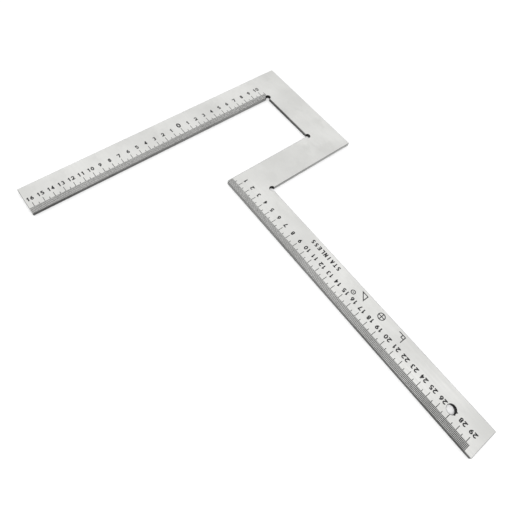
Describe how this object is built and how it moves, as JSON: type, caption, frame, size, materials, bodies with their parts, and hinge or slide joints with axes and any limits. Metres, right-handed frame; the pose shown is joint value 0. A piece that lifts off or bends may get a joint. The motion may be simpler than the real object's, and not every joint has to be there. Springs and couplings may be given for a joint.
{
  "type": "flat steel marking square",
  "caption": "Flat Z-shaped steel marking square with a centre-zero scale on its arm, a plain centimetre scale on its long leg, relief holes and a hanging hole.",
  "frame": {"origin": "centre of the plate's overall rectangle, on the face that it lies on", "axes": "+X runs right along the upper arm, +Y from the long leg's free end towards the arm, +Z out of the face that carries the scales"},
  "size_m": [0.301, 0.3964, 0.0035],
  "materials": {
    "plate_steel": "fine satin ground stainless steel with faint rolling lines and handling marks",
    "line_infill": "matt black enamel rubbed into the engraved lines",
    "numeral_infill": "matt black enamel rubbed into the engraved numerals and marks"
  },
  "bodies": {
    "root": {"plate": "plate_steel", "leg_mm_lines": "line_infill", "leg_half_cm_lines": "line_infill", "leg_cm_lines": "line_infill", "leg_numerals": "numeral_infill", "arm_long_mm_lines": "line_infill", "arm_long_half_cm_lines": "line_infill", "arm_long_cm_lines": "line_infill", "arm_long_numerals": "numeral_infill", "arm_short_mm_lines": "line_infill", "arm_short_half_cm_lines": "line_infill", "arm_short_cm_lines": "line_infill", "arm_short_numerals": "numeral_infill", "arm_zero_line": "line_infill", "arm_zero_numeral": "numeral_infill", "steel_lettering": "numeral_infill", "ring_mark": "numeral_infill", "set_square_emblem": "numeral_infill", "centre_emblem": "numeral_infill", "right_angle_emblem": "numeral_infill"}
  },
  "joints": []
}
